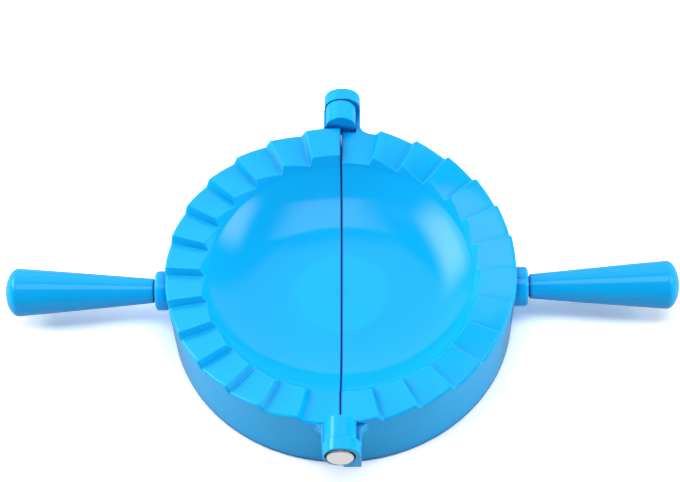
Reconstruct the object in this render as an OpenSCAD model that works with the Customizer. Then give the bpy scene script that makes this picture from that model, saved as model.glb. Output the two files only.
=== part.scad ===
// Folding press for filled dough pockets: two moulded half discs joined by a hinge.
// The press lies open on a table: X runs along the handles, Y along the hinge line, Z up.
// The origin is on the table, midway between the handles and midway between the hinges.

/* [Disc] */
// Diameter over the crests of the crimping rim
rim_d = 120; // [110:1:130]
// Height of the middle of the crimping rim above the table
rim_h = 28.3; // [27:0.1:31]
// Diameter of the skirt at the foot
foot_d = 118.2; // [112:0.2:119]
// Gap between the two halves along the hinge line
split_gap = 0.2; // [0.1:0.05:1.2]
// Thickness of the moulded walls
wall_t = 2.2; // [1.8:0.1:2.6]

/* [Bowl] */
// Diameter of the bowl's mouth at the middle height of the crimping rim
bowl_d = 94.6; // [90:0.2:96]
// Diameter of the level floor of the bowl
bowl_floor_d = 35; // [28:1:42]
// Radius of the curve that rises from the floor
bowl_curve_r = 41.5; // [38:0.5:46]
// Radius of the tighter curve under the mouth
bowl_lip_r = 6; // [4:0.5:8]
// Steepness of the wall at the mouth, in degrees
bowl_lip_angle = 58; // [54:1:62]
// Length of the straight wall at the mouth
bowl_lip_len = 2; // [1:0.1:3]

/* [Crimping rim] */
// Number of crimps along one half
crimp_count = 14; // [10:1:18]
// Height of each step between two crimps
crimp_h = 2.5; // [1.6:0.1:3]
// Width of each step's sloping face, in degrees round the disc
crimp_step = 1.7; // [1:0.1:2.4]
// Fall of the rim's top towards the bowl, in degrees
crimp_fall = 4.9; // [2:0.1:7]

/* [Hinge] */
// Height of the hinge line above the middle of the crimping rim, half the space left for dough
hinge_rise = 0.9; // [0.8:0.1:1.6]
// Diameter of the inner knuckles, which belong to the left half
inner_knuckle_d = 10.6; // [10:0.1:11.4]
// Length of the inner knuckles
inner_knuckle_len = 8; // [6:0.1:10]
// Height of the outer knuckles, which belong to the right half and are wider than they are high
outer_knuckle_d = 11.7; // [11:0.1:12.4]
// Length of the outer knuckles
outer_knuckle_len = 4.65; // [4:0.05:7]
// Depth of the lugs that carry the knuckles, measured down from the hinge line
lug_h = 7; // [6.2:0.1:9]
// Distance from the hinge line down to the top of the arms
arm_top = 2.3; // [2:0.1:3]
// Thickness of the arm beside each inner knuckle, at the height of the hinge line
arm_t = 0.95; // [0.8:0.05:1.4]
// Clearance between that arm and the inner knuckle
arm_gap = 0.6; // [0.4:0.05:0.9]
// Distance from the side of the inner knuckle to the outer face of its lug
inner_lug_out = 0.8; // [0.4:0.1:1.2]
// Distance from the hinge line to the near face of both lugs
lug_start = 0.9; // [0.6:0.1:1.5]
// Radius of the fillet between each arm and the skirt
arm_fillet = 3.6; // [2:0.1:4]
// Clearance between the rim and the end of each inner knuckle
knuckle_rim_gap = 0.1; // [0.05:0.05:1]
// Clearance between the end faces of neighbouring knuckles
knuckle_gap = 0.1; // [0.05:0.05:0.3]

/* [Hinge pin] */
// Diameter of the pin's shank
pin_d = 5; // [4:0.1:5.6]
// Diameter of the pin's head
pin_head_d = 9; // [8:0.1:9.4]
// Thickness of the pin's head
pin_head_t = 2; // [1.4:0.1:2.6]
// Height of the head above the end of the outer knuckle
pin_head_proud = 0.5; // [0.2:0.1:0.8]
// Radius of the rounded edge of the head
pin_head_round = 0.4; // [0.2:0.1:0.6]
// Radial clearance of the shank in the outer knuckle
pin_run_gap = 0.05; // [0.02:0.01:0.1]
// Radial clearance of the shank where it is pressed into the inner knuckle
pin_seat_gap = 0.01; // [0.005:0.005:0.02]
// Radial clearance round the head
pin_head_gap = 0.35; // [0.2:0.05:0.5]
// Clearance under the head
pin_head_float = 0.1; // [0.05:0.05:0.3]
// Thickness of plastic left beyond the end of the pin
pin_end_wall = 0.8; // [0.6:0.1:1.5]
// Length of the free space beyond the end of the pin
pin_end_gap = 0.2; // [0.1:0.1:0.5]

/* [Handle] */
// Height of the handles' axis above the table
handle_z = 16.2; // [14:0.1:17]
// Length of a handle beyond its collar
handle_len = 51.9; // [40:0.1:60]
// Diameter of a handle beside its collar
handle_root_d = 8.4; // [7.4:0.1:9.5]
// Largest diameter of a handle
handle_end_d = 16.6; // [12:0.1:17]
// Length of the domed end of a handle
handle_dome = 4.4; // [3:0.1:6]
// How early a handle swells out, where 1 is a straight cone
handle_swell = 1.05; // [1:0.05:1.5]
// Diameter of the neck between handle and collar
neck_d = 7; // [6.6:0.1:7.4]
// Length of that neck
neck_len = 0.6; // [0.3:0.1:1]
// Diameter of the collar on each half
collar_d = 13.6; // [12:0.1:15]
// Distance from the skirt to the face of the collar
collar_len = 4.5; // [4:0.1:8]
// Radius of the rounded edge of the collar
collar_round = 1.2; // [0.6:0.1:1.6]
// Diameter of the handle's spigot in its socket
spigot_d = 6.2; // [5:0.1:6.4]
// Length of the spigot
spigot_len = 12; // [9:0.5:14]
// Radial clearance of the spigot in its socket
spigot_gap = 0.02; // [0.01:0.01:0.05]
// Wall of the socket inside the skirt
socket_t = 2; // [1.6:0.1:2.6]

/* [Hidden] */
fine = 96;
small = 48;
curve_steps = 16;
ramp_steps = 3;
over = 1;
plastic = "deepskyblue";
metal = "silver";

// Disc
rim_r = rim_d / 2;
foot_r = foot_d / 2;
crest_z = rim_h + crimp_h / 2;
valley_z = rim_h - crimp_h / 2;
half_gap = split_gap / 2;
skirt_lean = (rim_r - foot_r) / crest_z;
function skirt_r(z) = foot_r + skirt_lean * z;
function arch_y(r, x) = sqrt(r * r - x * x);

// Bowl: a level floor, a wide curve, a tight curve and a straight lip
bowl_r = bowl_d / 2;
floor_r = bowl_floor_d / 2;
fall = tan(crimp_fall);
mouth_z = rim_h - fall * (rim_r - bowl_r);
lip_reach = bowl_lip_r * sin(bowl_lip_angle) + bowl_lip_len * cos(bowl_lip_angle);
curve_angle = asin((bowl_r - floor_r - lip_reach) / (bowl_curve_r - bowl_lip_r));
curve_rise = bowl_curve_r * (1 - cos(curve_angle));
lip_rise = bowl_lip_r * (cos(curve_angle) - cos(bowl_lip_angle)) + bowl_lip_len * sin(bowl_lip_angle);
floor_z = mouth_z - curve_rise - lip_rise;
curve_c = [floor_r, floor_z + bowl_curve_r];
lip_c = curve_c + (bowl_curve_r - bowl_lip_r) * [sin(curve_angle), -cos(curve_angle)];

// Point on a circle about c, at slope a of the surface below it
function slope_point(c, r, a) = c + r * [sin(a), -cos(a)];
// Point of the straight lip, moved out by t, at height z
function lip_point(t, z) =
  let (p = slope_point(lip_c, bowl_lip_r + t, bowl_lip_angle))
  [p[0] + (z - p[1]) / tan(bowl_lip_angle), z];
// Profile of the bowl from its axis up to height z, moved out by t
function bowl_profile(t, z) = concat(
  [[0, floor_z - t]],
  [for (i = [0 : curve_steps]) slope_point(curve_c, bowl_curve_r + t, curve_angle * i / curve_steps)],
  [for (i = [1 : curve_steps])
    slope_point(lip_c, bowl_lip_r + t, curve_angle + (bowl_lip_angle - curve_angle) * i / curve_steps)],
  [lip_point(t, z)]
);

// Crimping rim: angle from the rear end of the hinge line, and height above the middle.
// The far half has the opposite heights, so that the two rims mesh when the press is closed.
pitch = 180 / crimp_count;
past_split = 4;
function crimp_stops(side) = concat(
  [[-past_split, side], [pitch - crimp_step / 2, side]],
  [for (k = [1 : crimp_count - 2], e = [0, 1])
    [(k + e) * pitch + (1 - 2 * e) * crimp_step / 2, side * (2 * e - 1)]],
  [[(crimp_count - 1) * pitch + crimp_step / 2, -side], [180, 0], [180 + past_split, 0]]
);
// The same stops with each stretch divided, so that the ramps stay smooth
function divided(stops) = concat(
  [for (i = [0 : len(stops) - 2], j = [0 : ramp_steps - 1])
    stops[i] + (stops[i + 1] - stops[i]) * j / ramp_steps],
  [stops[len(stops) - 1]]
);

// Hinge
hinge_z = rim_h + hinge_rise;
inner_r = inner_knuckle_d / 2;
outer_r = outer_knuckle_d / 2;
inner_y0 = rim_r + knuckle_rim_gap;
inner_y1 = inner_y0 + inner_knuckle_len;
outer_y0 = inner_y1 + knuckle_gap;
outer_y1 = outer_y0 + outer_knuckle_len;
arm_x0 = inner_r + arm_gap;
arm_x1 = arm_x0 + arm_t;
outer_widen = arm_x1 - outer_r;
inner_lug_x = inner_r + inner_lug_out;
arm_h = lug_h - arm_top;
pin_r = pin_d / 2;
head_r = pin_head_d / 2;
head_y1 = outer_y1 + pin_head_proud;
head_y0 = head_y1 - pin_head_t;
seat_y0 = inner_y0 + pin_end_wall;
pin_tip_y = seat_y0 + pin_end_gap;
pin_chamfer = pin_r / 6;

// Handle
collar_r = collar_d / 2;
collar_x1 = skirt_r(handle_z) + collar_len;
spigot_r = spigot_d / 2;
neck_r = neck_d / 2;
socket_x0 = collar_x1 - spigot_len - wall_t;
grip_len = handle_len - handle_dome;
grip_steps = 24;
dome_steps = 16;
handle_root_r = handle_root_d / 2;
handle_end_r = handle_end_d / 2;
function grip_r(t) = handle_root_r + (handle_end_r - handle_root_r) * (1 - pow(1 - t, handle_swell));

// A bar with a round section along Y, from y0 to y1, centred on the hinge line
module hinge_bar(r, y0, y1) {
  translate([0, y1, hinge_z]) rotate([90, 0, 0]) cylinder(h = y1 - y0, r = r, $fn = fine);
}

// Space above the crimps of a half that lies on the side of negative X
module crimp_space(side) {
  stops = divided(crimp_stops(side));
  n = len(stops);
  r0 = bowl_r / 2;
  r1 = rim_r + 2 * over;
  top = crest_z + 2 * over;
  function top_z(level, r) = rim_h + level * crimp_h / 2 - fall * (rim_r - r);
  function ring(s) = let (u = 90 + s[0]) [
    [r0 * cos(u), r0 * sin(u), top_z(s[1], r0)],
    [r1 * cos(u), r1 * sin(u), top_z(s[1], r1)],
    [r1 * cos(u), r1 * sin(u), top],
    [r0 * cos(u), r0 * sin(u), top]
  ];
  points = [for (s = stops) each ring(s)];
  sides = [for (i = [0 : n - 2], j = [0 : 3])
    let (a = 4 * i + j, b = 4 * i + (j + 1) % 4)
    each [[a, b, b + 4], [a, b + 4, a + 4]]];
  ends = [[0, 3, 2], [0, 2, 1], [4 * n - 4, 4 * n - 3, 4 * n - 2], [4 * n - 4, 4 * n - 2, 4 * n - 1]];
  polyhedron(points = points, faces = concat(sides, ends));
}

// Space inside the bowl
module bowl_space() {
  top = crest_z + 2 * over;
  rotate_extrude($fn = fine) polygon(concat(bowl_profile(0, top), [[0, top]]));
}

// Hollow under the bowl and the rim, open at the foot
module under_space() {
  top = valley_z - fall * (rim_r - bowl_r) - wall_t;
  rotate_extrude($fn = fine) polygon(concat(
    bowl_profile(wall_t, top),
    [[skirt_r(top) - wall_t, top], [skirt_r(-over) - wall_t, -over], [0, -over]]
  ));
}

// The plain disc before anything is cut from it
module disc() {
  top = crest_z + over;
  rotate_extrude($fn = 2 * fine) polygon([[0, 0], [foot_r, 0], [skirt_r(top), top], [0, top]]);
}

// A large block that covers all that lies right of x
module right_of(x) {
  reach = 2 * rim_d;
  translate([x, -reach / 2, -over]) cube([reach, reach, reach]);
}

// Shell of one half on the side of negative X, before its knuckles
module half_shell(side) {
  socket_end = collar_x1 - collar_round;
  difference() {
    union() {
      difference() {
        disc();
        crimp_space(side);
        bowl_space();
        difference() {
          under_space();
          right_of(-half_gap - wall_t);
        }
        right_of(-half_gap);
      }
      difference() {
        translate([0, 0, handle_z]) rotate([0, -90, 0]) union() {
          translate([0, 0, socket_x0])
            cylinder(h = socket_end - socket_x0, r = spigot_r + socket_t, $fn = small);
          translate([0, 0, skirt_r(handle_z) - wall_t])
            rotate_extrude($fn = small) collar_profile();
        }
        bowl_body();
      }
    }
    translate([-collar_x1 - over, 0, handle_z]) rotate([0, 90, 0])
      cylinder(h = spigot_len + over + pin_end_gap, r = spigot_r + spigot_gap, $fn = small);
  }
}

// Outer shape of the bowl, which the socket must not enter
module bowl_body() {
  rotate_extrude($fn = fine) polygon(concat(bowl_profile(0, mouth_z), [[0, mouth_z]]));
}

// Half section of the collar, from inside the skirt to its rounded face
module collar_profile() {
  length = collar_len + wall_t;
  polygon(concat(
    [[0, 0], [collar_r, 0]],
    [for (a = [0 : 15 : 90])
      [collar_r - collar_round * (1 - cos(a)), length - collar_round * (1 - sin(a))]],
    [[0, length]]
  ));
}

// Lug or arm under the hinge line, from x0 to x1 and from y0 to y1
module hinge_block(x0, x1, y0, y1, top) {
  translate([x0, y0, hinge_z - lug_h]) cube([x1 - x0, y1 - y0, lug_h - top]);
}

// Fillet between the outer face of an arm at x and the skirt
module arm_corner(x) {
  y = arch_y(skirt_r(hinge_z - lug_h), x);
  translate([x, y - wall_t / 2, hinge_z - lug_h]) difference() {
    cube([arm_fillet, arm_fillet + wall_t / 2, arm_h]);
    translate([arm_fillet, arm_fillet + wall_t / 2, -over])
      cylinder(h = arm_h + 2 * over, r = arm_fillet, $fn = small);
  }
}

// Inner knuckle of the left half at the rear
module inner_knuckle() {
  root_y = arch_y(skirt_r(hinge_z - lug_h), inner_lug_x) - wall_t / 2;
  difference() {
    union() {
      hinge_bar(inner_r, inner_y0, inner_y1);
      hinge_block(-inner_lug_x, -lug_start, inner_y0, inner_y1, knuckle_gap);
      hinge_block(-inner_lug_x, -lug_start, root_y, inner_y1, arm_top);
      mirror([1, 0, 0]) arm_corner(inner_lug_x);
    }
    hinge_bar(pin_r + pin_seat_gap, seat_y0, inner_y1 + over);
  }
}

// Outer knuckle of the right half at the rear, widened until it is flush with the arm that carries it.
// The arm passes round the inner knuckle from below.
module outer_knuckle() {
  root_y = arch_y(skirt_r(hinge_z - lug_h), arm_x1) - wall_t / 2;
  difference() {
    union() {
      hinge_bar(outer_r, outer_y0, outer_y1);
      translate([outer_widen, 0, 0]) hinge_bar(outer_r, outer_y0, outer_y1);
      translate([0, outer_y0, hinge_z]) cube([outer_widen, outer_knuckle_len, outer_r]);
      hinge_block(lug_start, arm_x1, outer_y0, outer_y1, 0);
      difference() {
        hinge_block(lug_start, arm_x1, root_y, outer_y1, arm_top);
        hinge_bar(arm_x0, root_y - over, outer_y0);
      }
      arm_corner(arm_x1);
    }
    hinge_bar(pin_r + pin_run_gap, outer_y0 - over, outer_y1 + over);
    hinge_bar(head_r + pin_head_gap, head_y0 - pin_head_float, outer_y1 + over);
  }
}

// A hinge part at the rear and the same part mirrored to the front
module both_ends() {
  children();
  mirror([0, 1, 0]) children();
}

module left_half() {
  color(plastic) union() {
    half_shell(1);
    both_ends() inner_knuckle();
  }
}

module right_half() {
  color(plastic) union() {
    mirror([1, 0, 0]) half_shell(-1);
    both_ends() outer_knuckle();
  }
}

// Half section of a handle: spigot, neck, swelling grip and domed end
module handle_profile() {
  polygon(concat(
    [[0, -spigot_len], [spigot_r, -spigot_len], [spigot_r, 0], [neck_r, 0], [neck_r, neck_len]],
    [for (i = [0 : grip_steps])
      let (t = i / grip_steps) [grip_r(t), neck_len + (grip_len - neck_len) * t]],
    [for (i = [1 : dome_steps - 1])
      let (a = 90 * i / dome_steps) [handle_end_r * cos(a), grip_len + handle_dome * sin(a)]],
    [[0, handle_len]]
  ));
}

// Handle on the side of positive X
module handle() {
  translate([collar_x1, 0, handle_z]) rotate([0, 90, 0]) rotate_extrude($fn = small) handle_profile();
}

module left_handle() {
  color(plastic) mirror([1, 0, 0]) handle();
}

module right_handle() {
  color(plastic) handle();
}

// Half section of a hinge pin along its own axis, from its tip to its head
module pin_profile() {
  tip = pin_tip_y;
  polygon(concat(
    [[0, tip], [pin_r - pin_chamfer, tip], [pin_r, tip + pin_chamfer], [pin_r, head_y0], [head_r, head_y0]],
    [for (a = [0 : 15 : 90])
      [head_r - pin_head_round * (1 - cos(a)), head_y1 - pin_head_round * (1 - sin(a))]],
    [[0, head_y1]]
  ));
}

// Hinge pin at the rear
module hinge_pin() {
  translate([0, 0, hinge_z]) rotate([-90, 0, 0]) rotate_extrude($fn = small) pin_profile();
}

module front_hinge_pin() {
  color(metal) mirror([0, 1, 0]) hinge_pin();
}

module rear_hinge_pin() {
  color(metal) hinge_pin();
}

left_half();
right_half();
left_handle();
right_handle();
front_hinge_pin();
rear_hinge_pin();
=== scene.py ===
"""A folding dumpling press: the finished halves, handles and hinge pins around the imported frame."""

import math
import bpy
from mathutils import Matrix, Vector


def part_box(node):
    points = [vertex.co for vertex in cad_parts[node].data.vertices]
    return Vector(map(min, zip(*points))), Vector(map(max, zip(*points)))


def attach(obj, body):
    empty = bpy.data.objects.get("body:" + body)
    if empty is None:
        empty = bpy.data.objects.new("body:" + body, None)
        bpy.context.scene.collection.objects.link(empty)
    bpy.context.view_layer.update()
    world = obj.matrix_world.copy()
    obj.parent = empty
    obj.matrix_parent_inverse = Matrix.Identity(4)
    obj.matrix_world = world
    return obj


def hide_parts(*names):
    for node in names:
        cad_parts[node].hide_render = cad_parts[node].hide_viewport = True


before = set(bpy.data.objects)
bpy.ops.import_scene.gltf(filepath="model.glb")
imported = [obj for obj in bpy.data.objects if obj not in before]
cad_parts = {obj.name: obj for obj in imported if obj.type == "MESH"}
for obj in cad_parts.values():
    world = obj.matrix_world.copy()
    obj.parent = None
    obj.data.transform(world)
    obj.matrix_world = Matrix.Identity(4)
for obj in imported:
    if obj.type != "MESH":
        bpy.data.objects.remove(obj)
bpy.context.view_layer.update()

from types import SimpleNamespace

import bmesh
import bpy
import numpy as np
from mathutils import Matrix, Vector

bl_info = {
    "name": "Folding Dumpling Press",
    "version": (1, 0, 0),
    "blender": (4, 5, 0),
    "location": "View3D > Sidebar > Press",
    "description": "Builds the moulded halves, handles and hinge pins of a folding dumpling press",
    "category": "Add Mesh",
}

MM = 0.001

# Corners of the pieces of the frame, which give sizes and places
PIN_LOW, PIN_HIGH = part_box("rear_hinge_pin")
GRIP_LOW, GRIP_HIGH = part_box("right_handle")
LEFT_LOW, LEFT_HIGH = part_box("left_half")
RIGHT_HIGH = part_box("right_half")[1]
HINGE_Z = (PIN_LOW.z + PIN_HIGH.z) / 2
HANDLE_Z = (GRIP_LOW.z + GRIP_HIGH.z) / 2

# Sides of the turned pieces, and steps of their rounded stretches
SIDES, SOCKET_SIDES = 96, 64
GRIP_STEPS, DOME_STEPS = 48, 24
EDGE_STEPS, BEVEL_STEPS = 4, 3
FILLET_STEPS, COLLAR_STEPS, COLLAR_EDGE_STEPS = 10, 5, 6
COLUMN_STEP = math.radians(1)
# Where columns stand in the rounding of a step's corner, and how often its height is averaged
SOFT_MARKS, SOFT_SAMPLES = (-1, -0.6, -0.2, 0.2, 0.6, 1), 41
# The turn over which a row is eased towards the split: at least this, or this many times its lead
EASE, EASE_LEADS = math.radians(5), 3
# Points this close become one
MERGE = 1e-7
# Edges are rounded, or kept sharp in shading, from these angles on
ROUND_FROM, SHARP_FROM = math.radians(40), math.radians(32)
# Cutters reach this far past what they cut, and the outer arms this far into their knuckles
PAST, INTO = MM, MM
# How deep the collar's fillet sinks into the skirt, and how far round the fillet it starts
SINK, FILLET_FROM = 0.01 * MM, math.radians(18)
# The arms' edges, as a share of the knuckles' rounding
ARM_ROUND = 0.9
# A pin's chamfer is its radius over the first. The one under its head is a plain length.
PIN_PART, HEAD_CHAMFER = 6, MM / 10
# The chamfer of the outer bore runs past the knuckle's face by the knuckle's rounding over this
BRIM_PART = 4
# The socket's end is rounded by its wall over the first, and the free space beyond the spigot is the
# skirt's wall over the second
SOCKET_PART, SPACE_PART = 4, 10


def number(name, description, default, **settings):
    """A property that holds a number."""
    return bpy.props.FloatProperty(name=name, description=description, default=default, **settings)


def length(name, description, millimetres):
    """A length in metres, given here in millimetres."""
    return number(name, description, millimetres * MM, precision=5, unit="LENGTH", subtype="DISTANCE")


def angle(name, description, degrees):
    """An angle, given here in degrees."""
    return number(name, description, math.radians(degrees), unit="ROTATION", subtype="ANGLE")


def share(name, description, default):
    """A share from 0 to 1."""
    return number(name, description, default, min=0.0, max=1.0, subtype="FACTOR")


def amount(name, description, default):
    """A plain amount."""
    return number(name, description, default, min=0.0)


def colour(name, description, default):
    """A colour."""
    return bpy.props.FloatVectorProperty(
        name=name, description=description, default=default, size=3, min=0.0, max=1.0, subtype="COLOR",
    )


class PressDisc(bpy.types.PropertyGroup):
    """Sizes of the disc, its bowl and its crimping rim."""

    rim_d: length("Rim diameter", "Diameter over the crests of the crimping rim", 120)
    rim_h: length("Rim height", "Height of the middle of the crimping rim", 28.3)
    foot_d: length("Foot diameter", "Diameter of the skirt at the foot", 118.2)
    split_gap: length("Split gap", "Gap between the two halves", 0.2)
    wall_t: length("Wall", "Thickness of the moulded walls", 2.2)
    bowl_d: length("Bowl diameter", "Diameter of the mouth at the middle height of the rim", 94.6)
    bowl_floor_d: length("Bowl floor", "Diameter of the level floor of the bowl", 35)
    bowl_curve_r: length("Bowl curve", "Radius of the curve that rises from the floor", 41.5)
    bowl_lip_r: length("Lip curve", "Radius of the tighter curve under the mouth", 6)
    bowl_lip_angle: angle("Lip angle", "Steepness of the wall at the mouth", 58)
    bowl_lip_len: length("Lip length", "Length of the straight wall at the mouth", 2)
    crimp_count: bpy.props.IntProperty(name="Crimps", description="Crimps along one half", default=14, min=2)
    crimp_h: length("Crimp height", "Height of each step between two crimps", 2.5)
    crimp_step: angle("Crimp step", "Width of each step's sloping face", 1.7)
    crimp_fall: angle("Crimp fall", "Fall of the rim's top towards the bowl", 4.9)
    crimp_soft: angle("Crimp softness", "Reach of the rounding at each step's corners", 0.22)
    rim_round: length("Rim rounding", "Radius of the rim's inner edge", 0.5)
    crest_round: length("Crest rounding", "Radius of the rim's outer edge", 1.0)
    split_round: length("Split rounding", "Radius of the edges along the split", 0.45)
    foot_round: length("Foot rounding", "Radius of the foot's edges, more than that of the split", 0.5)
    inside_round: length("Inside rounding", "Radius of the corner under the rim", 0.9)


class PressHinge(bpy.types.PropertyGroup):
    """Sizes of the knuckles, their arms and the pins."""

    lug_h: length("Lug depth", "Depth of the lugs below the hinge line", 7)
    arm_top: length("Arm top", "Distance from the hinge line down to the top of the arms", 2.3)
    arm_t: length("Arm thickness", "Thickness of the arm beside each inner knuckle", 0.95)
    arm_gap: length("Arm gap", "Clearance between that arm and the inner knuckle", 0.6)
    lug_out: length("Lug reach", "Distance from the inner knuckle's side to its lug's face", 0.8)
    lug_start: length("Lug start", "Distance from the hinge line to the near face of both lugs", 0.9)
    arm_fillet: length("Arm fillet", "Radius of the fillet between each arm and the skirt", 3.6)
    rim_gap: length("Rim gap", "Clearance between the rim and each inner knuckle", 0.1)
    knuckle_gap: length("Knuckle gap", "Clearance between neighbouring knuckles", 0.1)
    edge_round: length("Edge rounding", "Radius of the knuckles' edges", 0.35)
    pin_d: length("Pin diameter", "Diameter of the pin's shank", 5)
    head_t: length("Head thickness", "Thickness of the pin's head", 2)
    head_round: length("Head rounding", "Radius of the edge of the pin's head", 0.4)
    head_gap: length("Head gap", "Radial clearance round the head", 0.35)
    head_float: length("Head float", "Clearance under the head", 0.1)
    run_gap: length("Running gap", "Radial clearance of the shank in the outer knuckle", 0.05)
    seat_gap: length("Seat gap", "Radial clearance of the shank in the inner knuckle", 0.01)
    end_gap: length("End gap", "Free space beyond the end of the pin", 0.2)


class PressHandle(bpy.types.PropertyGroup):
    """Sizes of the handles and the collars that hold them."""

    root_d: length("Root diameter", "Diameter of a handle beside its collar", 8.4)
    swell: amount("Swell", "How early a handle swells out, where 1 is a straight cone", 1.05)
    dome: length("Dome", "Length of the domed end", 4.4)
    neck_d: length("Neck diameter", "Diameter of the neck between handle and collar", 7)
    neck_len: length("Neck length", "Length of that neck", 0.6)
    root_round: length("Root rounding", "Radius of the edge of the handle beside its neck", 0.25)
    spigot_d: length("Spigot diameter", "Diameter of the spigot in its socket", 6.2)
    spigot_len: length("Spigot length", "Length of the spigot", 12)
    spigot_gap: length("Spigot gap", "Radial clearance of the spigot in its socket", 0.02)
    socket_t: length("Socket wall", "Wall of the socket inside the skirt", 2)
    collar_d: length("Collar diameter", "Diameter of the collar on each half", 13.6)
    collar_round: length("Collar rounding", "Radius of the edge of the collar", 1.2)
    collar_fillet: length("Collar fillet", "Radius of the fillet between collar and skirt", 0.6)


class PressFinish(bpy.types.PropertyGroup):
    """Colours and finishes."""

    plastic: colour("Plastic", "Colour of the moulded plastic", (0.004, 0.472, 0.97))
    plastic_deep: colour("Plastic, deep", "Colour of its faint flow marks", (0.006, 0.45, 0.96))
    # Painted highlight: this colour stands in for the light caught along the plastic's edges
    plastic_highlight: colour("Plastic, edges", "Colour along its edges", (0.08, 0.76, 0.99))
    # Painted shade: this colour stands in for the shade in corners, at the foot of steps and along the split
    plastic_shade_colour: colour("Plastic, crevices", "Colour in its narrow corners", (0.0, 0.13, 0.48))
    grip: colour("Handles", "Colour of the handles", (0.004, 0.43, 0.95))
    half_rough: share("Half roughness", "Roughness of the moulded halves", 0.075)
    grip_rough: share("Handle roughness", "Roughness of the polished handles", 0.12)
    steel: colour("Steel", "Colour of the pins", (0.98, 0.97, 0.94))
    steel_deep: colour("Steel, deep", "Colour in the grooves of the turned steel", (0.84, 0.84, 0.81))
    # Painted highlight: this colour stands in for the light caught along the pins' edges
    steel_highlight: colour("Steel, edges", "Colour along the edges of the pins", (0.95, 0.95, 0.94))
    steel_rough: share("Steel roughness", "Roughness of the turned pins", 0.28)
    scuff: share("Scuffs", "Strength of the faint rub marks", 0.35)
    # Strength of the painted highlight along edges
    edge: share("Edges", "Strength of the pale band along edges", 0.9)
    # Strengths of the painted shade in narrow corners and at the foot of steps
    corner_shade: share("Painted corner shade", "Strength of the deep tone in narrow corners", 0.8)
    hollow: share("Hollows", "Strength of the deeper tone at the foot of steps", 0.9)
    plastic_ior: amount("Plastic, refraction", "Index of refraction of the plastic", 1.43)


class PressStudio(bpy.types.PropertyGroup):
    """Camera, lamps and floor."""

    lens: amount("Lens", "Focal length in millimetres", 116.14)
    distance: length("Distance", "Distance from the camera to the point it looks at", 787.39)
    elevation: angle("Elevation", "Height of the camera above the horizon", 55.9)
    azimuth: angle("Azimuth", "Turn of the camera from straight in front", 2.19)
    roll: angle("Roll", "Tilt of the camera about its own axis", -2.53)
    aim_x: length("Aim across", "Point of the floor that the camera looks at, along X", -0.97)
    aim_y: length("Aim along", "Point of the floor that the camera looks at, along Y", 30.79)
    left_light: amount("Left lamp", "Brightness of the softbox on the left", 5.4)
    right_light: amount("Right lamp", "Brightness of the softbox on the right", 4.0)
    panel_light: amount("Panel", "Brightness of the panel overhead", 1.9)
    key_light: amount("Key lamp", "Brightness of the lamp overhead, which doesn't show in gloss", 7.0)
    left_wall: amount("Left wall", "Brightness of the low wall on the left, which doesn't show in gloss", 9.4)
    right_wall: amount("Right wall", "Brightness of the low wall on the right", 9.8)
    card_light: amount("Pin card", "Brightness of the small card that shows in the front pin", 0.3)
    rear_light: amount("Rear light", "Brightness of the pale wall behind the press", 0.62)
    floor_shade: amount("Floor", "Lightness of the floor for the light that it throws back", 0.70)
    floor_gloss: amount("Floor in gloss", "Lightness of the floor where it shows in gloss", 0.40)
    floor_seen: amount("Floor seen", "Lightness of the floor for the camera", 1.38)
    floor_glow: amount("Floor glow", "Brightness that camera and gloss see of the floor by itself", 0.015)


# Outlines: lists of rows, each a point and a normal. Both are complex numbers, across plus height times 1j.
# The last value given to a stretch is the number of its steps.


def heading(turn):
    """The direction of travel at an angle."""
    return complex(math.cos(turn), math.sin(turn))


def quarter(steps):
    """Directions over a quarter turn, from across to up."""
    return [heading(math.pi / 2 * i / steps) for i in range(steps + 1)]


def path(*pairs):
    """Points from pairs of across and height."""
    return [complex(*pair) for pair in pairs]


def rod(radius, low, high):
    """Half the outline of a round rod, from its axis and back to it."""
    return path((0, low), (radius, low), (radius, high), (0, high))


def straight(start, end, steps):
    """Rows between two points, without the points themselves."""
    way = end - start
    return [(start + way * i / steps, 1j * way / abs(way)) for i in range(1, steps)]


def bend(centre, radius, before, after, steps):
    """Rows along a round stretch, which turns left round its centre, or right if the radius is negative."""
    ways = [heading(before + (after - before) * i / steps) for i in range(steps + 1)]
    return [(centre - radius * 1j * way, 1j * way) for way in ways]


def corner(point, before, after, radius, steps):
    """Rows round a corner where two straight stretches would meet."""
    signed = math.copysign(radius, after - before)
    start = point - radius * math.tan(abs(after - before) / 2) * heading(before)
    return bend(start + signed * 1j * heading(before), signed, before, after, steps)


def rounded(*given):
    """The points of a rounded corner."""
    return [point for point, normal in corner(*given)]


def joined(*stretches, steps):
    """Rounded stretches in a row, with straight rows between each and the next."""
    rows = list(stretches[0])
    for stretch, between in zip(stretches[1:], steps):
        rows += straight(rows[-1][0], stretch[0][0], between) + list(stretch)
    return rows


def added(name, data):
    """A new object in the scene."""
    piece = bpy.data.objects.new(name, data)
    bpy.context.scene.collection.objects.link(piece)
    return piece


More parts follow.
